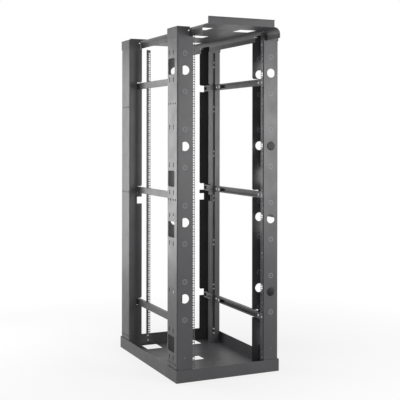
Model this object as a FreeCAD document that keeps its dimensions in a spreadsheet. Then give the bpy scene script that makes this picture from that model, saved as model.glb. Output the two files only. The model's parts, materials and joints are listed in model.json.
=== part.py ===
import FreeCAD, Part
import os
import Sketcher

# Four post open frame rack, 44 units high, folded from steel sheet.
# Millimetres. Origin: centre of the base pan's underside. +X to the rack's right,
# +Y to its rear, +Z up. The pieces on the left are modelled, the pieces on the
# right are their mirror images in the plane X = 0.

doc = FreeCAD.newDocument("open_frame_rack")
Vector = FreeCAD.Vector

# ---------------------------------------------------------------- driving sizes
SIZES = (
    # rack unit grid of the four mounting rails
    ("unit_height", 44.45),
    ("unit_count", 44),
    ("first_unit", 87),            # floor to the lower edge of unit 1
    ("column_spacing", 465.1),     # left hole column to right hole column
    ("square_hole", 9.5),
    ("hole_rise", 6.35),           # unit edge to its first hole
    ("hole_step", 15.875),         # between the three holes of a unit
    # mounting rails
    ("rail_spacing", 762),         # front rail face to rear rail face
    ("rail_setback", 6),           # front post face to front rail face
    ("rail_inner_edge", 7.55),     # hole column to the strip's inner edge
    ("rail_outer_edge", 20.5),     # hole column to the strip's outer edge
    ("rail_leg", 20),
    ("rail_sheet", 2.5),
    ("rail_foot", 5),              # rail below unit 1
    ("rail_head", 18),             # rail above the last unit
    # posts
    ("rack_width", 685),           # over the posts
    ("rack_depth", 1021),          # over the posts
    ("post_top", 2134),
    ("post_depth", 160),
    ("post_sheet", 2),
    ("post_bend", 8),
    ("front_edge_gap", 9.5),       # hole column to the front posts' flange edges
    ("rear_edge_gap", 19),         # hole column to the rear posts' flange edges
    # round cable holes in the front posts' flanges
    ("cable_hole", 56),
    ("cable_hole_first", 502),
    ("cable_hole_pitch", 457.2),
    ("cable_hole_count", 4),
    ("cable_hole_sides", 20),
    # rectangular windows in the front posts' webs
    ("window_length", 100),
    ("window_height", 97),
    ("window_inset", 44),
    ("window_corner", 6),          # cut off each corner of a window
    ("window_1", 220),
    ("window_2", 913),
    ("window_3", 1220),
    ("window_4", 1901),
    # pairs of tie slots in the front posts' webs
    ("slot_width", 10),
    ("slot_height", 28),
    ("slot_inset", 61),
    ("slot_gap", 61),
    ("slot_rise", 83),             # window centre to the slots over and under it
    ("lone_slot_1", 543),
    ("lone_slot_2", 1533),
    # rows of four square bolt holes in every post's web
    ("row_hole", 11),
    ("row_inset", 27),
    ("row_step", 35),
    ("row_middle", 45),
    ("row_1", 105),
    ("row_2", 1093),
    ("row_3", 1675),
    # side struts
    ("strut_height", 41.3),
    ("strut_depth", 22),
    ("strut_sheet", 2.5),
    ("strut_lip", 9.5),
    ("strut_gap", 23.5),           # hole column to the strut's open face
    ("strut_reach", 86),           # strut beyond the rear post's front flange
    ("strut_1", 338),
    ("strut_2", 1107),
    ("strut_3", 1819),
    # notches in the flange edges
    ("notch_height", 46),
    ("notch_edge", 54),            # hole column to the notch's closed side
    ("notch_chamfer", 8),
    ("spare_notch", 1037),
    ("pan_clearance", 2.5),
    # plates that carry the rails on the struts, and clips on the front flanges
    ("plate_length", 100),
    ("plate_height", 34),
    ("clip_height", 60),
    ("clip_foot", 28),
    ("clip_sheet", 2.5),
    ("clip_units", 7),             # units from one clip to the next
    ("clip_count", 7),
    # top pan
    ("pan_top", 2140),
    ("pan_foot", 2077),            # floor to the skirts' lower edges
    ("pan_gap", 27),               # hole column to the skirt's outer face
    ("pan_overhang", 177),         # beyond the posts, front and rear
    ("pan_bend", 39),
    ("pan_sheet", 2),
    ("end_wall_height", 42),
    ("end_wall_lip", 9),
    # post caps
    ("cap_height", 59.5),
    ("cap_sheet", 2.5),
    ("cap_bend", 4),
    # cable ports in the base pan and the top pan
    ("port_width", 112),
    ("port_length", 129),
    ("port_offset_x", 147.5),
    ("port_offset_y", 422),
    ("base_port_width", 89),
    ("base_port_length", 101),
    ("top_port_width", 145),
    ("top_port_length", 120),
    # base pan
    ("base_lip", 76),
    ("base_sheet", 3),
    ("base_gap", 2.5),
)

sheet = doc.addObject("Spreadsheet::Sheet", "Sizes")
for row, (alias, value) in enumerate(SIZES, start=1):
    sheet.set(f"A{row}", alias)
    sheet.set(f"B{row}", str(value))
    sheet.setAlias(f"B{row}", alias)
doc.recompute()

# ------------------------------------------------- places that several pieces share
S = "Sizes."
COLUMN = f"{S}column_spacing / 2"
FRONT_FACE = f"(-{S}rack_depth / 2)"
FRONT_RAIL = f"({FRONT_FACE} + {S}rail_setback)"
REAR_RAIL = f"({FRONT_RAIL} + {S}rail_spacing)"
REAR_POST = f"({S}rack_depth / 2 - {S}post_depth)"
OUTER_FACE = f"(-{S}rack_width / 2)"
POST_MARGIN = f"({S}rack_width / 2 - {COLUMN})"          # post face to hole column
PAN_WIDTH = f"({S}column_spacing + 2 * {S}pan_gap)"
PAN_LENGTH = f"({S}rack_depth + 2 * {S}pan_overhang)"
PLATE_SHEET = f"({S}strut_gap - {S}rail_outer_edge)"


def number(expression):
    """The value of an expression of the sheet's cells."""
    return float(sheet.evalExpression(expression))


def origin_feature(body, role):
    return next(item for item in body.Origin.OriginFeatures if item.Role == role)


def new_body(name):
    return doc.addObject("PartDesign::Body", name)


def place(piece, x="0", y="0", z="0"):
    """Bind the piece's place in the rack to the sheet."""
    for axis, expression in zip("xyz", (x, y, z)):
        piece.setExpression(f"Placement.Base.{axis}", expression)
    return piece


def new_sketch(body, name, plane, offset="0"):
    """A sketch on one of the body's own origin planes, lifted along its normal."""
    sketch = body.newObject("Sketcher::SketchObject", name)
    sketch.AttachmentSupport = [(origin_feature(body, plane), "")]
    sketch.MapMode = "FlatFace"
    sketch.setExpression("AttachmentOffset.Base.z", offset)
    return sketch


def pin(sketch, kind, edge, end, expression):
    """Fix one coordinate of an edge's end, measured from the sketch's origin."""
    if expression == "0":
        axis = -2 if kind == "DistanceX" else -1
        sketch.addConstraint(Sketcher.Constraint("PointOnObject", edge, end, axis))
        return
    value = number(expression)
    index = sketch.addConstraint(Sketcher.Constraint(kind, -1, 1, edge, end, value))
    sketch.setExpression(f"Constraints[{index}]", expression)


def draw_polygon(sketch, corners):
    """A closed outline whose corners are pairs of expressions."""
    points = [Vector(number(x), number(y), 0) for x, y in corners]
    first = sketch.GeometryCount
    count = len(points)
    for start, end in zip(points, points[1:] + points[:1]):
        sketch.addGeometry(Part.LineSegment(start, end))
    for i, (x, y) in enumerate(corners):
        following = first + (i + 1) % count
        sketch.addConstraint(Sketcher.Constraint("Coincident", first + i, 2, following, 1))
        pin(sketch, "DistanceX", first + i, 1, x)
        pin(sketch, "DistanceY", first + i, 1, y)


def draw_rectangle(sketch, left, right, low, high):
    draw_polygon(sketch, ((left, low), (right, low), (right, high), (left, high)))


def draw_round_hole(sketch, x, y, diameter, sides):
    """A round hole drawn with many short sides."""
    corners = []
    for index in range(round(number(sides))):
        turn = f"(360 * ({index} + 0.5) / {sides})"
        corners.append(
            (f"{x} + {diameter} / 2 * cos({turn})", f"{y} + {diameter} / 2 * sin({turn})")
        )
    draw_polygon(sketch, corners)


def new_pad(body, sketch, length, both_ways=False, reverse=False):
    pad = body.newObject("PartDesign::Pad", f"{sketch.Name}_pad")
    pad.Profile = sketch
    pad.setExpression("Length", length)
    pad.SideType = "Symmetric" if both_ways else "One side"
    pad.Reversed = reverse
    doc.recompute()
    return pad


def new_pocket(body, sketch, both_ways=False, reverse=False):
    """A cut right through the body, on one side of the sketch or on both."""
    before = body.Tip.Shape.Volume
    pocket = body.newObject("PartDesign::Pocket", f"{sketch.Name}_cut")
    pocket.Profile = sketch
    pocket.Type = "ThroughAll"
    pocket.SideType = "Symmetric" if both_ways else "One side"
    pocket.Reversed = reverse
    doc.recompute()
    if not pocket.Shape.Volume < before:
        raise RuntimeError(f"{pocket.Name} cuts nothing")
    return pocket


def repeat_up(body, feature, pitch, count):
    """Repeat a feature up the body."""
    pattern = body.newObject("PartDesign::LinearPattern", f"{feature.Name}_row")
    pattern.Originals = [feature]
    pattern.Direction = (origin_feature(body, "Z_Axis"), [""])
    pattern.Mode = "Spacing"
    pattern.setExpression("Offset", pitch)
    pattern.setExpression("Occurrences", count)
    body.Tip = pattern
    doc.recompute()
    return pattern


def round_edges(body, radius, wanted):
    """Round the edges of the body's last feature that the test picks."""
    base = body.Tip
    names = [
        f"Edge{index}"
        for index, edge in enumerate(base.Shape.Edges, start=1)
        if wanted(edge)
    ]
    fillet = body.newObject("PartDesign::Fillet", f"{base.Name}_round")
    fillet.Base = (base, names)
    fillet.setExpression("Radius", radius)
    doc.recompute()
    return fillet


def runs_along(edge, axis):
    """Whether a straight edge runs along X, Y or Z (axis 0, 1 or 2)."""
    if not isinstance(edge.Curve, Part.Line):
        return False
    return abs(abs(edge.Curve.Direction[axis]) - 1) < 1e-6


def mirrored(piece, name):
    """The piece's twin on the other side of the rack."""
    twin = doc.addObject("Part::Mirroring", name)
    twin.Source = piece
    twin.Base = Vector(0, 0, 0)
    twin.Normal = Vector(1, 0, 0)
    return twin


# ----------------------------------------------------------------------- base pan
def draw_ports(sketch, middle_width, middle_length):
    """Four cable ports near the corners and one in the middle."""
    half = {"x": f"{S}port_width / 2", "y": f"{S}port_length / 2"}
    for side in ("-", ""):
        for end in ("-", ""):
            x = f"{side}{S}port_offset_x"
            y = f"{end}{S}port_offset_y"
            draw_rectangle(
                sketch,
                f"{x} - {half['x']}",
                f"{x} + {half['x']}",
                f"{y} - {half['y']}",
                f"{y} + {half['y']}",
            )
    draw_rectangle(
        sketch,
        f"-{middle_width} / 2",
        f"{middle_width} / 2",
        f"-{middle_length} / 2",
        f"{middle_length} / 2",
    )


def make_base_pan():
    """A shallow tray, open upwards, that the four posts stand in."""
    body = new_body("base_pan")
    half_width = f"({S}rack_width / 2 + {S}base_gap)"
    half_depth = f"({S}rack_depth / 2 + {S}base_gap)"
    outline = new_sketch(body, "base_outline", "XY_Plane")
    draw_rectangle(
        outline,
        f"-{half_width} - {S}base_sheet",
        f"{half_width} + {S}base_sheet",
        f"-{half_depth} - {S}base_sheet",
        f"{half_depth} + {S}base_sheet",
    )
    new_pad(body, outline, f"{S}base_lip")
    hollow = new_sketch(body, "base_hollow", "XY_Plane", f"{S}base_sheet")
    draw_rectangle(
        hollow, f"-{half_width}", half_width, f"-{half_depth}", half_depth
    )
    new_pocket(body, hollow, reverse=True)
    ports = new_sketch(body, "base_ports", "XY_Plane")
    draw_ports(ports, f"{S}base_port_width", f"{S}base_port_length")
    new_pocket(body, ports, both_ways=True)
    return body


# ------------------------------------------------------------------------ top pan
def cut_skirts(body):
    """Cuts the pan's bends and skirts away between the flanges of each post."""
    notches = new_sketch(body, "pan_skirt_notches", "XY_Plane")
    outside = f"({PAN_WIDTH} / 2 + {S}pan_clearance)"
    near = f"({REAR_POST} + {S}post_sheet)"
    far = f"({S}rack_depth / 2 - {S}post_sheet)"
    for edge_gap, low, high in (
        ("front_edge_gap", f"-{far}", f"-{near}"),
        ("rear_edge_gap", near, far),
    ):
        inside = f"({COLUMN} + {S}{edge_gap} - {S}pan_clearance)"
        draw_rectangle(notches, inside, outside, low, high)
        draw_rectangle(notches, f"-{outside}", f"-{inside}", low, high)
    new_pocket(body, notches, reverse=True)


def make_top_pan():
    """A long cable tray over the posts: a panel with rolled corners and side
    skirts that are cut out inside each post, and a low wall turned up at each
    end."""
    body = new_body("top_pan")
    half = f"({PAN_WIDTH} / 2)"
    inner = f"({half} - {S}pan_sheet)"
    inner_top = f"{S}pan_top - {S}pan_sheet"
    section = new_sketch(body, "pan_section", "XZ_Plane")
    draw_polygon(
        section,
        (
            (f"-{half}", f"{S}pan_foot"),
            (f"-{inner}", f"{S}pan_foot"),
            (f"-{inner}", inner_top),
            (inner, inner_top),
            (inner, f"{S}pan_foot"),
            (half, f"{S}pan_foot"),
            (half, f"{S}pan_top"),
            (f"-{half}", f"{S}pan_top"),
        ),
    )
    new_pad(body, section, PAN_LENGTH, both_ways=True)

    def at_height(expression):
        height = number(expression)
        return lambda edge: (
            runs_along(edge, 1) and abs(edge.CenterOfMass.z - height) < 0.01
        )

    round_edges(body, f"{S}pan_bend", at_height(f"{S}pan_top"))
    round_edges(body, f"{S}pan_bend - {S}pan_sheet", at_height(inner_top))
    ports = new_sketch(body, "pan_ports", "XY_Plane")
    draw_ports(ports, f"{S}top_port_width", f"{S}top_port_length")
    new_pocket(body, ports, reverse=True)
    cut_skirts(body)

    end = f"({PAN_LENGTH} / 2)"
    wall_top = f"{S}pan_top + {S}end_wall_height"
    lip_low = f"{wall_top} - {S}pan_sheet"
    for name, sign in (("front_wall", "-"), ("rear_wall", "")):
        wall = new_sketch(body, name, "YZ_Plane")
        draw_polygon(
            wall,
            (
                (f"{sign}{end}", inner_top),
                (f"{sign}({end} - {S}pan_sheet)", inner_top),
                (f"{sign}({end} - {S}pan_sheet)", wall_top),
                (f"{sign}({end} + {S}end_wall_lip)", wall_top),
                (f"{sign}({end} + {S}end_wall_lip)", lip_low),
                (f"{sign}{end}", lip_low),
            ),
        )
        new_pad(body, wall, f"{PAN_WIDTH} - 2 * {S}pan_bend", both_ways=True)
    return body


# -------------------------------------------------------------------------- posts
def make_post_channel(name, edge_gap):
    """A tall C-channel with its web outward. In its own frame X runs inward from
    the web's outer face, Y rearward from the front flange's face."""
    body = new_body(name)
    width = f"({POST_MARGIN} - {edge_gap})"
    back = f"({S}post_depth - {S}post_sheet)"
    section = new_sketch(body, f"{name}_section", "XY_Plane", f"{S}base_sheet")
    draw_polygon(
        section,
        (
            ("0", "0"),
            (width, "0"),
            (width, f"{S}post_sheet"),
            (f"{S}post_sheet", f"{S}post_sheet"),
            (f"{S}post_sheet", back),
            (width, back),
            (width, f"{S}post_depth"),
            ("0", f"{S}post_depth"),
        ),
    )
    new_pad(body, section, f"{S}post_top - {S}base_sheet")
    sheet_size = number(f"{S}post_sheet")

    def on_web_plane(x):
        return lambda edge: (
            runs_along(edge, 2) and abs(edge.CenterOfMass.x - x) < 0.01
        )

    round_edges(body, f"{S}post_bend", on_web_plane(0))
    round_edges(body, f"{S}post_bend - {S}post_sheet", on_web_plane(sheet_size))
    return body


def notch_corners(edge_gap, low, high, chamfer):
    """A notch open to the flange's edge, its upper mouth corner cut off."""
    closed = f"({POST_MARGIN} - {S}notch_edge)"
    mouth = f"({POST_MARGIN} - {edge_gap})"
    beyond = f"({mouth} + {chamfer})"
    return (
        (closed, low),
        (beyond, low),
        (beyond, f"{high} + 2 * {chamfer}"),
        (f"{mouth} - {chamfer}", high),
        (closed, high),
    )


def cut_strut_notches(body, edge_gap, spare, behind=None):
    """Notches that the side struts lie in, cut through both flanges or only
    through what is behind a plane."""
    offset = "0" if behind is None else f"-({behind})"
    notches = new_sketch(body, f"{body.Name}_notches", "XZ_Plane", offset)
    for height in ("strut_1", "strut_2", "strut_3"):
        low = f"({S}{height} - {S}strut_height / 2)"
        high = f"({low} + {S}notch_height)"
        draw_polygon(notches, notch_corners(edge_gap, low, high, f"{S}notch_chamfer"))
    if spare:
        low = f"({S}spare_notch - {S}notch_height / 2)"
        draw_rectangle(
            notches,
            f"({POST_MARGIN} - {S}notch_edge)",
            f"({POST_MARGIN} - {edge_gap} + {S}notch_chamfer)",
            low,
            f"{low} + {S}notch_height",
        )
    new_pocket(body, notches)


def cut_pan_notch(body, edge_gap):
    """The upper corners of both flanges make room for the top pan's skirt."""
    notch = new_sketch(body, f"{body.Name}_pan_notch", "XZ_Plane")
    draw_rectangle(
        notch,
        f"({POST_MARGIN} - {S}pan_gap - {S}pan_clearance)",
        f"({POST_MARGIN} - {edge_gap} + {S}pan_clearance)",
        f"{S}pan_foot",
        f"{S}post_top + {S}pan_clearance",
    )
    new_pocket(body, notch)


def cut_hole_rows(body, from_rear):
    """Rows of four square bolt holes across the web."""
    rows = new_sketch(body, f"{body.Name}_hole_rows", "YZ_Plane")
    half = f"{S}row_hole / 2"
    steps = ("0", f"{S}row_step", f"{S}row_step + {S}row_middle",
             f"2 * {S}row_step + {S}row_middle")
    for height in ("row_1", "row_2", "row_3"):
        for step in steps:
            y = f"({S}row_inset + {step})"
            if from_rear:
                y = f"({S}post_depth - {y})"
            draw_rectangle(
                rows,
                f"{y} - {half}",
                f"{y} + {half}",
                f"{S}{height} - {half}",
                f"{S}{height} + {half}",
            )
    new_pocket(body, rows, reverse=True)


def cut_cable_holes(body):
    """Round holes for cables through both flanges."""
    hole = new_sketch(body, f"{body.Name}_cable_hole", "XZ_Plane")
    middle = f"({POST_MARGIN} - {S}front_edge_gap) / 2"
    draw_round_hole(
        hole,
        middle,
        f"{S}cable_hole_first",
        f"{S}cable_hole",
        f"{S}cable_hole_sides",
    )
    cut = new_pocket(body, hole)
    repeat_up(body, cut, f"{S}cable_hole_pitch", f"{S}cable_hole_count")


def cut_web_windows(body):
    """Upright windows in the web, their corners cut off."""
    windows = new_sketch(body, f"{body.Name}_windows", "YZ_Plane")
    corner = f"{S}window_corner"
    left = f"{S}window_inset"
    right = f"({S}window_inset + {S}window_length)"
    for height in ("window_1", "window_2", "window_3", "window_4"):
        low = f"({S}{height} - {S}window_height / 2)"
        high = f"({S}{height} + {S}window_height / 2)"
        draw_polygon(
            windows,
            (
                (left, f"{low} + {corner}"),
                (f"{left} + {corner}", low),
                (f"{right} - {corner}", low),
                (right, f"{low} + {corner}"),
                (right, f"{high} - {corner}"),
                (f"{right} - {corner}", high),
                (f"{left} + {corner}", high),
                (left, f"{high} - {corner}"),
            ),
        )
    new_pocket(body, windows, reverse=True)


def cut_tie_slots(body):
    """Pairs of upright slots over and under each window, and two lone pairs."""
    slots = new_sketch(body, f"{body.Name}_slots", "YZ_Plane")
    heights = [f"({S}lone_slot_1)", f"({S}lone_slot_2)"]
    for window in ("window_1", "window_2", "window_3", "window_4"):
        heights += [f"({S}{window} - {S}slot_rise)", f"({S}{window} + {S}slot_rise)"]
    for height in heights:
        for y in (f"{S}slot_inset", f"({S}slot_inset + {S}slot_gap)"):
            draw_rectangle(
                slots,
                f"{y} - {S}slot_width / 2",
                f"{y} + {S}slot_width / 2",
                f"{height} - {S}slot_height / 2",
                f"{height} + {S}slot_height / 2",
            )
    new_pocket(body, slots, reverse=True)


def make_front_post():
    gap = f"{S}front_edge_gap"
    body = make_post_channel("front_left_post", gap)
    cut_pan_notch(body, gap)
    cut_strut_notches(body, gap, spare=False, behind=f"{S}post_depth / 2")
    cut_cable_holes(body)
    cut_web_windows(body)
    cut_tie_slots(body)
    cut_hole_rows(body, from_rear=False)
    return place(body, OUTER_FACE, FRONT_FACE)


def make_rear_post():
    gap = f"{S}rear_edge_gap"
    body = make_post_channel("rear_left_post", gap)
    cut_pan_notch(body, gap)
    cut_strut_notches(body, gap, spare=True)
    cut_hole_rows(body, from_rear=True)
    return place(body, OUTER_FACE, REAR_POST)


# ---------------------------------------------------------------------- post caps
def make_cap(name, post_y):
    """A folded cap over a post's top: a lid and three sides, open to the pan."""
    body = new_body(name)
    width = f"({POST_MARGIN} - {S}pan_gap - {S}pan_clearance)"
    depth = f"({S}post_depth + {S}cap_sheet)"
    outline = new_sketch(body, f"{name}_outline", "XY_Plane")
    draw_rectangle(outline, f"-{S}cap_sheet", width, f"-{S}cap_sheet", depth)
    new_pad(body, outline, f"{S}cap_height")
    hollow = new_sketch(body, f"{name}_hollow", "XY_Plane",
                        f"{S}cap_height - {S}cap_sheet")
    draw_rectangle(hollow, "0", f"{width} + {S}cap_sheet", "0", f"{S}post_depth")
    new_pocket(body, hollow)
    outer = number(f"-{S}cap_sheet")
    round_edges(
        body,
        f"{S}cap_bend",
        lambda edge: runs_along(edge, 2) and abs(edge.CenterOfMass.x - outer) < 0.01,
    )
    top = f"{S}post_top + {S}cap_sheet - {S}cap_height"
    return place(body, OUTER_FACE, post_y, top)


# ------------------------------------------------------------------ mounting rails
def make_rail(name, face_y, turn):
    """An L-section rail with three square holes in each rack unit. In its own
    frame X is measured from the hole column, inward, and Y from the rail's face.
    The leg turns to the rear when turn is empty, to the front when it is "-"."""
    body = new_body(name)
    outer = f"(-{S}rail_outer_edge)"
    foot = f"({S}first_unit - {S}rail_foot)"
    section = new_sketch(body, f"{name}_section", "XY_Plane", foot)
    draw_polygon(
        section,
        (
            (outer, "0"),
            (f"{S}rail_inner_edge", "0"),
            (f"{S}rail_inner_edge", f"{turn}{S}rail_sheet"),
            (f"{outer} + {S}rail_sheet", f"{turn}{S}rail_sheet"),
            (f"{outer} + {S}rail_sheet", f"{turn}{S}rail_leg"),
            (outer, f"{turn}{S}rail_leg"),
        ),
    )
    height = f"{S}unit_count * {S}unit_height + {S}rail_foot + {S}rail_head"
    new_pad(body, section, height)
    unit = new_sketch(body, f"{name}_unit", "XZ_Plane")
    half = f"{S}square_hole / 2"
    for step in range(3):
        z = f"{S}first_unit + {S}hole_rise + {step} * {S}hole_step"
        draw_rectangle(unit, f"-{half}", half, f"{z} - {half}", f"{z} + {half}")
    cut = new_pocket(body, unit, both_ways=True)
    repeat_up(body, cut, f"{S}unit_height", f"{S}unit_count")
    return place(body, f"-{COLUMN}", face_y)


# --------------------------------------------------------------------- side struts
def make_strut(name, height):
    """A lipped channel, open towards the rack's inside, from the front post's
    front flange to past the rear post's front flange. In its own frame X runs
    outward from the open face."""
    body = new_body(name)
    half = f"({S}strut_height / 2)"
    inner = f"({half} - {S}strut_sheet)"
    web = f"(-{S}strut_depth)"
    mouth = f"({half} - {S}strut_lip)"
    section = new_sketch(body, f"{name}_section", "XZ_Plane")
    draw_polygon(
        section,
        (
            ("0", f"-{half}"),
            ("0", f"-{mouth}"),
            (f"-{S}strut_sheet", f"-{mouth}"),
            (f"-{S}strut_sheet", f"-{inner}"),
            (f"{web} + {S}strut_sheet", f"-{inner}"),
            (f"{web} + {S}strut_sheet", inner),
            (f"-{S}strut_sheet", inner),
            (f"-{S}strut_sheet", mouth),
            ("0", mouth),
            ("0", half),
            (web, half),
            (web, f"-{half}"),
        ),
    )
    start = f"({FRONT_FACE} + {S}post_sheet)"
    new_pad(body, section, f"{REAR_POST} + {S}strut_reach - {start}", reverse=True)
    return place(body, f"-{COLUMN} - {S}strut_gap", start, f"{S}{height}")


def make_rail_plate(name, height, low_y, length):
    """A flat plate between a strut's open face and a rail's leg."""
    plate = doc.addObject("Part::Box", name)
    plate.setExpression("Length", PLATE_SHEET)
    plate.setExpression("Width", length)
    plate.setExpression("Height", f"{S}plate_height")
    x = f"-{COLUMN} - {S}strut_gap"
    return place(plate, x, low_y, f"{S}{height} - {S}plate_height / 2")


def make_clips():
    """Angle clips that hold the front rail's leg to the post's front flange, one
    beside every seventh unit. In their own frame X is measured outward from the
    rail's leg and Y from the flange's back."""
    body = new_body("front_left_rail_clips")
    low = f"({S}first_unit + {S}unit_height / 2 - {S}clip_height / 2)"
    section = new_sketch(body, "clip_section", "XY_Plane", low)
    reach = f"({S}rail_setback - {S}post_sheet + {S}rail_leg)"
    draw_polygon(
        section,
        (
            ("0", "0"),
            ("0", reach),
            (f"-{S}clip_sheet", reach),
            (f"-{S}clip_sheet", f"{S}clip_sheet"),
            (f"-{S}clip_foot", f"{S}clip_sheet"),
            (f"-{S}clip_foot", "0"),
        ),
    )
    new_pad(body, section, f"{S}clip_height")
    return place(
        body,
        f"-{COLUMN} - {S}rail_outer_edge",
        f"{FRONT_FACE} + {S}post_sheet",
    )


def repeat_clips(clip):
    """The clip repeated up the rail, as separate solids of one piece."""
    pitch = number(f"{S}clip_units * {S}unit_height")
    count = round(number(f"{S}clip_count"))
    copies = []
    for index in range(count):
        copy = clip.Shape.copy()
        copy.translate(Vector(0, 0, pitch * index))
        copies.append(copy)
    row = doc.addObject("Part::Feature", "front_left_clip_row")
    row.Shape = Part.makeCompound(copies)
    return row


# ------------------------------------------------------------------------ assembly
def with_twin(piece, left_name):
    """Label a piece of the left side, and make and label its mirror image."""
    right_name = left_name.replace("left", "right")
    twin = mirrored(piece, right_name)
    piece.Label = left_name
    twin.Label = right_name
    return [piece, twin]


def build_pieces():
    pieces = [make_base_pan(), make_top_pan()]
    pieces += with_twin(make_front_post(), "front_left_post")
    pieces += with_twin(make_rear_post(), "rear_left_post")
    for end, post_y, face_y, turn in (
        ("front", FRONT_FACE, FRONT_RAIL, ""),
        ("rear", REAR_POST, REAR_RAIL, "-"),
    ):
        cap = f"{end}_left_cap"
        pieces += with_twin(make_cap(cap, post_y), cap)
        rail = f"{end}_left_rail"
        pieces += with_twin(make_rail(rail, face_y, turn), rail)
    for level, height in (("lower", "strut_1"), ("middle", "strut_2"), ("upper", "strut_3")):
        strut = f"left_{level}_strut"
        pieces += with_twin(make_strut(strut, height), strut)
        front = f"front_left_{level}_plate"
        pieces += with_twin(
            make_rail_plate(front, height, FRONT_RAIL, f"{S}plate_length"), front
        )
        rear = f"rear_left_{level}_plate"
        low_y = f"{REAR_RAIL} - {S}plate_length"
        pieces += with_twin(
            make_rail_plate(rear, height, low_y, f"{S}plate_length"), rear
        )
    clip = make_clips()
    doc.recompute()
    pieces += with_twin(repeat_clips(clip), "front_left_clips")
    return pieces


def check(pieces):
    for item in doc.Objects:
        for state in ("Invalid", "Error"):
            if state in item.State:
                raise RuntimeError(f"{item.Name} is {state}")
    for piece in pieces:
        shape = piece.Shape
        if shape.isNull() or not shape.isValid() or not shape.Solids:
            raise RuntimeError(f"{piece.Label} has no valid solid")


def export(pieces):
    os.makedirs("parts", exist_ok=True)
    for piece in pieces:
        piece.Shape.exportStep(os.path.join("parts", f"{piece.Label}.step"))
        volume = piece.Shape.Volume / 1000
        print(f"{piece.Label}: {len(piece.Shape.Solids)} solid(s), {volume:.0f} cm3")


all_pieces = build_pieces()
doc.recompute()
check(all_pieces)
export(all_pieces)
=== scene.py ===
"""Look of a four post open frame rack: powder coated sheet steel with bright fasteners."""

import json
import math

import bmesh
import bpy
from mathutils import Matrix, Vector


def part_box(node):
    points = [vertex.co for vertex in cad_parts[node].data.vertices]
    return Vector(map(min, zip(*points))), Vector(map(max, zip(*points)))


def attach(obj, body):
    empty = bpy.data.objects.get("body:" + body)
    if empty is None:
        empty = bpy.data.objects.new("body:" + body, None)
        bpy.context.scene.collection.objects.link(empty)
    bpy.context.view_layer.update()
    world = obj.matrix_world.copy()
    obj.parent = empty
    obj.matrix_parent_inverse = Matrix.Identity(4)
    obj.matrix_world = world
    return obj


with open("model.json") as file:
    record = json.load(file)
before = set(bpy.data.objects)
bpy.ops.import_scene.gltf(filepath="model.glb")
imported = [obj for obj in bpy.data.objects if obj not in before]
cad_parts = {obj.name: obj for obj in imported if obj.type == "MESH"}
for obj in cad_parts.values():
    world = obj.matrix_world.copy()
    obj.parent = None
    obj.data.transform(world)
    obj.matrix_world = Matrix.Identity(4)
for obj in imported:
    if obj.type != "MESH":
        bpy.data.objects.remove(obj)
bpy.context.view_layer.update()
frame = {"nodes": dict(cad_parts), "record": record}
SCENE = bpy.context.scene
BODY = "root"

# ------------------------------------------------------------------ shared sizes
# Metres, as in the part's source where the frame doesn't give them.
UNIT = 0.04445
UNIT_COUNT = 44
FIRST_UNIT = 0.087
HOLE_RISE = 0.00635
HOLE_STEP = 0.015875
SQUARE_HOLE = 0.0095
HOLE_COLUMN = 0.23255
CLIP_PITCH = 7 * UNIT
BOLT_LEVELS = [FIRST_UNIT + UNIT / 2 + index * CLIP_PITCH for index in range(7)]
SIDES = {"left": -1, "right": 1}


def edge(node, axis, high=False):
    """One coordinate of a CAD node's box."""
    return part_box(node)[1 if high else 0][axis]


FRONT_FLANGE = edge("front_left_post", 1)
REAR_FLANGE = edge("rear_left_post", 1, high=True)
RAIL_FACE = {"front": edge("front_left_rail", 1), "rear": edge("rear_left_rail", 1, high=True)}
INWARD = {"front": 1, "rear": -1}
RAIL_OUTER = abs(edge("front_left_rail", 0))
POST_OUTER = abs(edge("front_left_post", 0))
POST_SHEET = 0.002
POST_DEPTH = edge("front_left_post", 1, high=True) - FRONT_FLANGE
PAN_SHEET = 0.002
PAN_PANEL = 2.140
PAN_BEND = 0.039
CAP_SCREW_LEVEL = 2.1125
FLANGE_MIDDLE = (POST_OUTER + abs(edge("front_left_post", 0, high=True))) / 2


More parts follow.
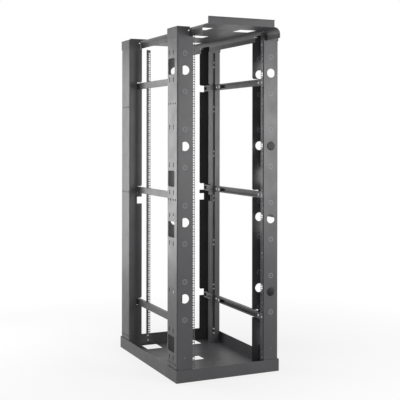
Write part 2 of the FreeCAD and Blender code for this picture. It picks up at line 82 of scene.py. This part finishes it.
# --------------------------------------------------------------------- materials
class Nodes:
    """A short way to write a material's node tree."""

    def __init__(self, name):
        self.material = bpy.data.materials.new(name)
        self.material.use_nodes = True
        self.tree = self.material.node_tree
        self.tree.nodes.clear()
        self.output = self.add("ShaderNodeOutputMaterial")

    def add(self, kind, settings=None, **inputs):
        node = self.tree.nodes.new(kind)
        for key, value in (settings or {}).items():
            setattr(node, key, value)
        for key, value in inputs.items():
            self.feed(node, key.replace("_", " "), value)
        return node

    def feed(self, node, key, value):
        socket = node.inputs[int(key)] if key.isdigit() else node.inputs[key]
        if isinstance(value, bpy.types.NodeSocket):
            self.tree.links.new(value, socket)
        else:
            socket.default_value = value

    def noise(self, scale, detail=2.0, roughness=0.5, vector=None):
        node = self.add("ShaderNodeTexNoise", Scale=scale, Detail=detail, Roughness=roughness)
        self.feed(node, "Vector", vector or self.coordinates())
        return node.outputs["Fac"]

    def coordinates(self):
        return self.add("ShaderNodeTexCoord").outputs["Object"]

    def ramp(self, value, low, high, to_low, to_high):
        """A straight-line map of a value, held at its ends."""
        node = self.add("ShaderNodeMapRange", {"clamp": True})
        for key, number in zip(
            ("Value", "From Min", "From Max", "To Min", "To Max"),
            (value, low, high, to_low, to_high),
        ):
            self.feed(node, key, number)
        return node.outputs["Result"]

    def math(self, operation, a, b=0.0):
        node = self.add("ShaderNodeMath", {"operation": operation})
        self.feed(node, "0", a)
        self.feed(node, "1", b)
        return node.outputs[0]

    def blend(self, factor, a, b):
        node = self.add("ShaderNodeMix", {"data_type": "RGBA"})
        node.inputs["Factor"].default_value = 0.5
        self.feed(node, "Factor", factor)
        self.feed(node, "6", a)
        self.feed(node, "7", b)
        return node.outputs[2]

    def bump(self, height, distance, strength=1.0, normal=None):
        node = self.add("ShaderNodeBump", Strength=strength, Distance=distance)
        self.feed(node, "Height", height)
        if normal is not None:
            self.feed(node, "Normal", normal)
        return node.outputs["Normal"]

    def finish(self, shader):
        self.tree.links.new(shader, self.output.inputs["Surface"])
        return self.material


def powder_coat(name, color, roughness=0.42, wear=0.5):
    """Semi-gloss powder coat: fine orange peel, slight mottling, edges rubbed
    a little paler."""
    n = Nodes(name)
    mottle = n.noise(6.0, 3.0, 0.6)
    speck = n.noise(420.0, 1.0, 0.4)
    dark = (*[c * 0.92 for c in color], 1)
    pale = (*[c * 1.08 for c in color], 1)
    coat = n.blend(n.ramp(mottle, 0.35, 0.65, 0.0, 1.0), dark, pale)
    coat = n.blend(n.ramp(speck, 0.62, 0.75, 0.0, 0.25), coat, (*[c * 1.35 for c in color], 1))

    bevel = n.add("ShaderNodeBevel", {"samples": 4}, Radius=0.0016)
    geometry = n.add("ShaderNodeNewGeometry")
    dot = n.add("ShaderNodeVectorMath", {"operation": "DOT_PRODUCT"})
    n.feed(dot, "0", bevel.outputs[0])
    n.feed(dot, "1", geometry.outputs["Normal"])
    at_edge = n.ramp(dot.outputs["Value"], 0.93, 0.995, 1.0, 0.0)
    patchy = n.ramp(n.noise(26.0, 4.0, 0.65), 0.42, 0.62, 0.15, 1.0)
    rubbed = n.math("MULTIPLY", n.math("MULTIPLY", at_edge, patchy), wear)
    coat = n.blend(rubbed, coat, (*[min(1.0, c * 2.6 + 0.03) for c in color], 1))

    shine = n.ramp(n.noise(11.0, 4.0, 0.6), 0.3, 0.7, roughness - 0.05, roughness + 0.06)
    peel = n.noise(900.0, 2.0, 0.55)
    pebble = n.noise(2600.0, 1.0, 0.5)
    rounded = n.add("ShaderNodeBevel", {"samples": 4}, Radius=0.0007)
    normal = n.bump(peel, 0.00006, 0.55, rounded.outputs[0])
    normal = n.bump(pebble, 0.00002, 0.5, normal)
    shader = n.add("ShaderNodeBsdfPrincipled", Base_Color=coat, Roughness=shine, Normal=normal)
    shader.inputs["IOR"].default_value = 1.46
    shader.inputs["Coat Weight"].default_value = 0.04
    shader.inputs["Coat Roughness"].default_value = 0.3
    return n.finish(shader.outputs[0])


def bright_zinc(name):
    """Bright zinc plate on small fasteners, with faint turning marks and stains."""
    n = Nodes(name)
    stain = n.ramp(n.noise(240.0, 3.0, 0.6), 0.35, 0.7, 0.0, 1.0)
    color = n.blend(stain, (0.78, 0.79, 0.80, 1), (0.56, 0.57, 0.59, 1))
    shine = n.ramp(n.noise(500.0, 2.0, 0.5), 0.3, 0.7, 0.22, 0.38)
    normal = n.bump(n.noise(1500.0, 2.0, 0.5), 0.00005, 0.4)
    shader = n.add("ShaderNodeBsdfPrincipled", Base_Color=color, Roughness=shine, Normal=normal)
    shader.inputs["Metallic"].default_value = 1.0
    return n.finish(shader.outputs[0])


COAT = (0.060, 0.0575, 0.0615)
MATERIALS = {
    "base_coat": powder_coat("base_powder_coat", COAT, 0.44),
    "post_coat": powder_coat("post_powder_coat", COAT, 0.40),
    "rail_coat": powder_coat("rail_powder_coat", [c * 1.15 for c in COAT], 0.40, wear=0.7),
    "bracket_coat": powder_coat("bracket_powder_coat", COAT, 0.42),
    "top_coat": powder_coat("top_powder_coat", COAT, 0.44),
}
ZINC = bright_zinc("bright_zinc_plate")
# Pressed knock-out rings and dimples are the same coat as the sheet, painted 3.8 times paler: a painted
# highlight for the light their raised shapes catch.
PAINTED_HIGHLIGHT_RING_COAT = powder_coat("knockout_ring_painted_highlight", [c * 3.8 for c in COAT], 0.55, wear=0.2)
RIVET_COAT = powder_coat("dull_rivet_coat", [c * 3.0 for c in COAT], 0.45, wear=0.2)


def dress(node, material):
    """Give a CAD node one material."""
    node.data.materials.clear()
    node.data.materials.append(material)


slot_of = {row["node"]: row["material_slot"] for row in frame["record"]["subparts"]}
for name, node in frame["nodes"].items():
    dress(node, MATERIALS[slot_of[name]])


# ----------------------------------------------------------------- small hardware
def new_piece(name, mesh, material):
    """A piece of the look that rides on the rack."""
    for face in mesh.faces:
        face.smooth = True
    data = bpy.data.meshes.new(name)
    mesh.to_mesh(data)
    mesh.free()
    data.set_sharp_from_angle(angle=math.radians(35))
    data.materials.append(material)
    piece = bpy.data.objects.new(name, data)
    SCENE.collection.objects.link(piece)
    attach(piece, BODY)
    return piece


def turned(mesh, profile, matrix, sides=20):
    """A solid of revolution about local Z from (radius, height) pairs."""
    rings = []
    for radius, height in profile:
        if radius == 0:
            rings.append([mesh.verts.new(matrix @ Vector((0, 0, height)))])
            continue
        rings.append(
            [
                mesh.verts.new(
                    matrix
                    @ Vector(
                        (
                            radius * math.cos(2 * math.pi * i / sides),
                            radius * math.sin(2 * math.pi * i / sides),
                            height,
                        )
                    )
                )
                for i in range(sides)
            ]
        )
    for low, high in zip(rings, rings[1:]):
        for i in range(sides):
            j = (i + 1) % sides
            corners = [low[i % len(low)], low[j % len(low)], high[j % len(high)], high[i % len(high)]]
            unique = list(dict.fromkeys(corners))
            if len(unique) > 2:
                mesh.faces.new(unique)


def facing(x, y, z, toward):
    """A frame at a point whose local Z looks along a direction."""
    turn = Vector(toward).to_track_quat("Z", "Y").to_matrix().to_4x4()
    return Matrix.Translation((x, y, z)) @ turn


def bolt(mesh, matrix, head=0.0055, height=0.0035):
    """A domed screw head with a washer under it and a recess in its crown."""
    turned(
        mesh,
        (
            (0, 0),
            (head * 1.45, 0),
            (head * 1.5, 0.0002),
            (head * 1.5, 0.0010),
            (head * 1.45, 0.0012),
            (head, 0.0012),
            (head, 0.0012 + height * 0.35),
            (head * 0.93, 0.0012 + height * 0.7),
            (head * 0.72, 0.0012 + height * 0.94),
            (head * 0.5, 0.0012 + height),
            (head * 0.42, 0.0012 + height * 0.6),
            (0, 0.0012 + height * 0.5),
        ),
        matrix,
    )


def nut(mesh, matrix, across=0.0080, height=0.0045, thread=0.0022, reach=0.0035):
    """A hexagon nut with chamfered corners and the screw's end standing out of it."""
    turned(
        mesh,
        (
            (across * 0.50, 0),
            (across * 0.56, 0.0004),
            (across * 0.56, height - 0.0004),
            (across * 0.50, height),
            (thread, height),
            (thread, height + reach - 0.0004),
            (thread * 0.8, height + reach),
            (0, height + reach),
        ),
        matrix,
        sides=6,
    )


def rail_bolts():
    """Pairs of zinc nuts, with their screws' ends, on the bay side of each rail's leg."""
    leg_sheet, leg_reach = 0.0025, 0.0110
    for end, face in RAIL_FACE.items():
        for side, sign in SIDES.items():
            mesh = bmesh.new()
            x = sign * (RAIL_OUTER - leg_sheet)
            y = face + INWARD[end] * leg_reach
            for level in BOLT_LEVELS:
                for step in (-0.0159, 0.0159):
                    nut(mesh, facing(x, y, level + step, (-sign, 0, 0)), 0.0100, 0.0060, 0.0030, 0.0045)
            new_piece(f"{end}_{side}_rail_screws", mesh, ZINC)


def plate_bolts():
    """Two zinc screws through each rail plate into its strut."""
    for level in ("lower", "middle", "upper"):
        height = (edge(f"front_left_{level}_plate", 2) + edge(f"front_left_{level}_plate", 2, True)) / 2
        for side, sign in SIDES.items():
            mesh = bmesh.new()
            for end, face in RAIL_FACE.items():
                for reach in (0.041, 0.086):
                    y = face + INWARD[end] * reach
                    bolt(mesh, facing(sign * RAIL_OUTER, y, height, (-sign, 0, 0)), 0.0050, 0.0035)
            new_piece(f"{side}_{level}_plate_screws", mesh, ZINC)


def cap_bolts():
    """Zinc screws that tie each cap to both flanges of its post, nuts inside."""
    beyond_column = 0.038
    for end in ("front", "rear"):
        for side, sign in SIDES.items():
            cap, post = f"{end}_{side}_cap", f"{end}_{side}_post"
            mesh = bmesh.new()
            x = sign * (HOLE_COLUMN + beyond_column)
            for toward, high in ((-1, False), (1, True)):
                inside = edge(post, 1, high) - toward * POST_SHEET
                bolt(mesh, facing(x, edge(cap, 1, high), CAP_SCREW_LEVEL, (0, toward, 0)), 0.0038, 0.0028)
                nut(mesh, facing(x, inside, CAP_SCREW_LEVEL, (0, -toward, 0)), 0.0120, 0.0060, 0.0030, 0.0050)
            new_piece(f"{cap}_screws", mesh, ZINC)


def pan_rivets():
    """Two flat rivets low on each side skirt of the top pan."""
    level = edge("top_pan", 2) + 0.011
    mesh = bmesh.new()
    for sign in SIDES.values():
        x = sign * edge("top_pan", 0, high=True)
        for y in (-0.141, -0.099):
            bolt(mesh, facing(x, y, level, (sign, 0, 0)), 0.0040, 0.0016)
    new_piece("top_pan_rivets", mesh, RIVET_COAT)


def sheet_strip(mesh, rows, thickness):
    """A thin sheet through rows of points, thickened."""
    grid = [[mesh.verts.new(point) for point in row] for row in rows]
    faces = []
    for near, far in zip(grid, grid[1:]):
        for i in range(len(near) - 1):
            faces.append(mesh.faces.new((near[i], near[i + 1], far[i + 1], far[i])))
    mesh.normal_update()
    bmesh.ops.solidify(mesh, geom=faces, thickness=thickness)


def pan_shoulders():
    """The pan's roll between the flanges of each post, where the CAD pan is cut away."""
    roll = PAN_BEND - 0.0005
    centre_x = edge("top_pan", 0, high=True) - PAN_BEND
    centre_z = PAN_PANEL - PAN_BEND
    inset, front_inset, last, steps = 0.0025, 0.0095, 66, 6
    spans = (
        ("front", FRONT_FLANGE + front_inset, FRONT_FLANGE + POST_DEPTH - inset, 30),
        ("rear", REAR_FLANGE - POST_DEPTH + inset, REAR_FLANGE - inset, 39),
    )
    for end, low, high, first in spans:
        for side, sign in SIDES.items():
            mesh = bmesh.new()
            angles = [math.radians(first + (last - first) * step / steps) for step in range(steps + 1)]
            rows = [
                [
                    (sign * (centre_x + roll * math.sin(a)), y, centre_z + roll * math.cos(a))
                    for a in angles
                ]
                for y in (low, high)
            ]
            sheet_strip(mesh, rows, 0.0016)
            new_piece(f"{end}_{side}_pan_shoulder", mesh, MATERIALS["top_coat"])


def rail_heads():
    """The front rails' heads, two units above the CAD rails' 44. The lowest hole of the
    two falls on the CAD rail's plain end and isn't drawn."""
    half, sheet, rim = SQUARE_HOLE / 2, 0.0023, 0.0004
    low, high, leg_high = edge("front_left_rail", 2, high=True), 2.1318, 2.1165
    leg_depth, setback = 0.0199, 0.0001
    holes = [
        FIRST_UNIT + UNIT * unit + HOLE_RISE + HOLE_STEP * step
        for unit in (UNIT_COUNT, UNIT_COUNT + 1)
        for step in range(3)
    ]
    holes = [z for z in holes if z > low]
    levels = [low] + [max(z + shift, low + rim) for z in holes for shift in (-half, half)] + [high]
    inner = HOLE_COLUMN - 0.00755
    for side, sign in SIDES.items():
        mesh = bmesh.new()
        y = RAIL_FACE["front"] + setback
        across = (inner, HOLE_COLUMN - half, HOLE_COLUMN + half, RAIL_OUTER)
        points = {
            (i, k): mesh.verts.new((sign * x, y, z))
            for i, x in enumerate(across)
            for k, z in enumerate(levels)
        }
        faces = []
        for k in range(len(levels) - 1):
            for i in range(3):
                if i == 1 and k % 2 == 1:
                    continue
                corners = [points[i, k], points[i + 1, k], points[i + 1, k + 1], points[i, k + 1]]
                faces.append(mesh.faces.new(corners if sign > 0 else corners[::-1]))
        mesh.normal_update()
        bmesh.ops.solidify(mesh, geom=faces, thickness=sheet)
        leg = [
            [(sign * RAIL_OUTER, y + depth, z) for z in (low, leg_high)]
            for depth in (sheet, leg_depth)
        ]
        sheet_strip(mesh, leg if sign > 0 else leg[::-1], sheet)
        bmesh.ops.recalc_face_normals(mesh, faces=mesh.faces)
        new_piece(f"front_{side}_rail_head", mesh, MATERIALS["rail_coat"])


def knockout(mesh, matrix, radius=0.0157, width=0.0040, depth=0.0007, ring=True):
    """A small centre dimple, with a pressed ring around it."""
    if ring:
        turned(
            mesh,
            (
                (radius - width, 0.0),
                (radius - width * 0.8, depth),
                (radius - width * 0.2, depth),
                (radius, 0.0),
            ),
            matrix,
            sides=40,
        )
    turned(
        mesh,
        ((0.0032, 0.0), (0.0028, depth), (0.0012, depth * 1.2), (0, depth * 1.2)),
        matrix,
        sides=16,
    )


def knockouts():
    """Pressed knock-outs between the cable holes of the front posts, on both faces of
    both flanges, and at both ends of the top pan. The lowest on each post has its
    dimple alone."""
    lowest, pitch, count = 0.146, 0.2286, 9
    levels = [lowest + pitch * index for index in range(count)]
    back = FRONT_FLANGE + POST_DEPTH
    faces = (
        (FRONT_FLANGE, -1),
        (FRONT_FLANGE + POST_SHEET, 1),
        (back - POST_SHEET, -1),
        (back, 1),
    )
    for side, sign in SIDES.items():
        mesh = bmesh.new()
        x = sign * FLANGE_MIDDLE
        for index, level in enumerate(levels):
            for y, way in faces:
                knockout(mesh, facing(x, y, level, (0, way, 0)), ring=index > 0)
        # The rings and dimples take the paler coat, a painted highlight, not a colour of their own.
        new_piece(f"front_{side}_post_knockouts", mesh, PAINTED_HIGHLIGHT_RING_COAT)
    mesh = bmesh.new()
    for y in (-0.430, 0.430):
        knockout(mesh, facing(0.0, y, PAN_PANEL - PAN_SHEET, (0, 0, -1)))
        knockout(mesh, facing(0.0, y, PAN_PANEL, (0, 0, 1)))
    # The pan's rings and dimples also take the paler coat, a painted highlight.
    new_piece("top_pan_knockouts", mesh, PAINTED_HIGHLIGHT_RING_COAT)


pan_shoulders()
rail_heads()
rail_bolts()
plate_bolts()
cap_bolts()
pan_rivets()
knockouts()


# ---------------------------------------------------------------- floor and light
def light_path_white(name, color, near_share):
    """Pale floor: nearly white to the camera close to the object, where it keeps the
    shadow, and wholly white far off."""
    n = Nodes(name)
    path = n.add("ShaderNodeLightPath")
    seen_color = n.blend(path.outputs["Is Camera Ray"], (*[c * 0.65 for c in color], 1), (*color, 1))
    diffuse = n.add("ShaderNodeBsdfDiffuse", Color=seen_color)
    glow = n.add("ShaderNodeEmission")
    glow.inputs["Color"].default_value = (1, 1, 1, 1)
    glow.inputs["Strength"].default_value = 1.0
    seen = n.math("MAXIMUM", path.outputs["Is Camera Ray"], path.outputs["Is Glossy Ray"])
    seen = n.math("MAXIMUM", seen, path.outputs["Is Transmission Ray"])
    away = n.add("ShaderNodeVectorMath", {"operation": "LENGTH"})
    n.feed(away, "0", n.coordinates())
    glow_share = n.ramp(away.outputs["Value"], 0.7, 2.4, 1 - near_share, 1.0)
    mix = n.add("ShaderNodeMixShader")
    n.feed(mix, "0", n.math("MULTIPLY", seen, glow_share))
    n.feed(mix, "1", diffuse.outputs[0])
    n.feed(mix, "2", glow.outputs[0])
    return n.finish(mix.outputs[0])


def make_floor():
    mesh = bmesh.new()
    bmesh.ops.create_grid(mesh, x_segments=1, y_segments=1, size=30.0)
    data = bpy.data.meshes.new("studio_floor")
    mesh.to_mesh(data)
    mesh.free()
    floor = bpy.data.objects.new("studio_floor", data)
    SCENE.collection.objects.link(floor)
    floor.location.z = -0.0005
    data.materials.append(light_path_white("studio_floor_white", FLOOR_COLOR, 0.22))


def make_world(ambient):
    world = bpy.data.worlds.new("studio_world")
    SCENE.world = world
    world.use_nodes = True
    tree = world.node_tree
    tree.nodes.clear()
    output = tree.nodes.new("ShaderNodeOutputWorld")
    background = tree.nodes.new("ShaderNodeBackground")
    background.inputs["Color"].default_value = (1, 1, 1, 1)
    path = tree.nodes.new("ShaderNodeLightPath")
    seen = tree.nodes.new("ShaderNodeMath")
    seen.operation = "MAXIMUM"
    also = tree.nodes.new("ShaderNodeMath")
    also.operation = "MAXIMUM"
    strength = tree.nodes.new("ShaderNodeMapRange")
    strength.inputs["To Min"].default_value = ambient
    strength.inputs["To Max"].default_value = 1.0
    link = tree.links.new
    link(path.outputs["Is Camera Ray"], seen.inputs[0])
    link(path.outputs["Is Transmission Ray"], seen.inputs[1])
    link(seen.outputs[0], also.inputs[0])
    link(path.outputs["Is Glossy Ray"], also.inputs[1])
    link(also.outputs[0], strength.inputs["Value"])
    link(strength.outputs["Result"], background.inputs["Strength"])
    link(background.outputs[0], output.inputs["Surface"])


def softbox(name, place, target, width, height, radiance):
    """An area light of the given radiance, aimed at a point."""
    light = bpy.data.lights.new(name, "AREA")
    light.shape = "RECTANGLE"
    light.size = width
    light.size_y = height
    light.energy = radiance * width * height * math.pi
    box = bpy.data.objects.new(name, light)
    SCENE.collection.objects.link(box)
    box.location = place
    box.rotation_euler = (Vector(target) - Vector(place)).to_track_quat("-Z", "Y").to_euler()
    return box


def make_camera():
    data = bpy.data.cameras.new("photo_camera")
    camera = bpy.data.objects.new("photo_camera", data)
    SCENE.collection.objects.link(camera)
    camera.location = (-2.36855, -5.4465, 1.485)
    camera.rotation_euler = (math.radians(90), math.radians(-0.08), math.radians(-25.7))
    data.sensor_width = 36.0
    data.lens = 80.28
    data.shift_x = -0.075
    data.shift_y = -0.1625
    SCENE.camera = camera


FLOOR_COLOR = (0.85, 0.85, 0.85)
make_floor()
make_world(0.34)
# name, place, target, width, height, radiance
SOFTBOXES = (
    ("rear_left_softbox", (-1.60, 1.45, 1.25), (-0.34, -0.43, 1.25), 1.5, 1.8, 4.0),
    ("front_right_softbox", (1.5, -2.65, 1.5), (0.2, -0.5, 1.5), 1.4, 1.4, 8.0),
    ("fill_softbox", (-2.9, -6.6, 1.8), (0.0, 0.0, 1.1), 1.9, 1.9, 5.5),
    ("top_softbox", (0.0, -0.3, 4.8), (0.0, 0.0, 1.0), 2.5, 2.5, 1.2),
)
for row in SOFTBOXES:
    softbox(*row)
make_camera()
SCENE.view_settings.view_transform = "Standard"
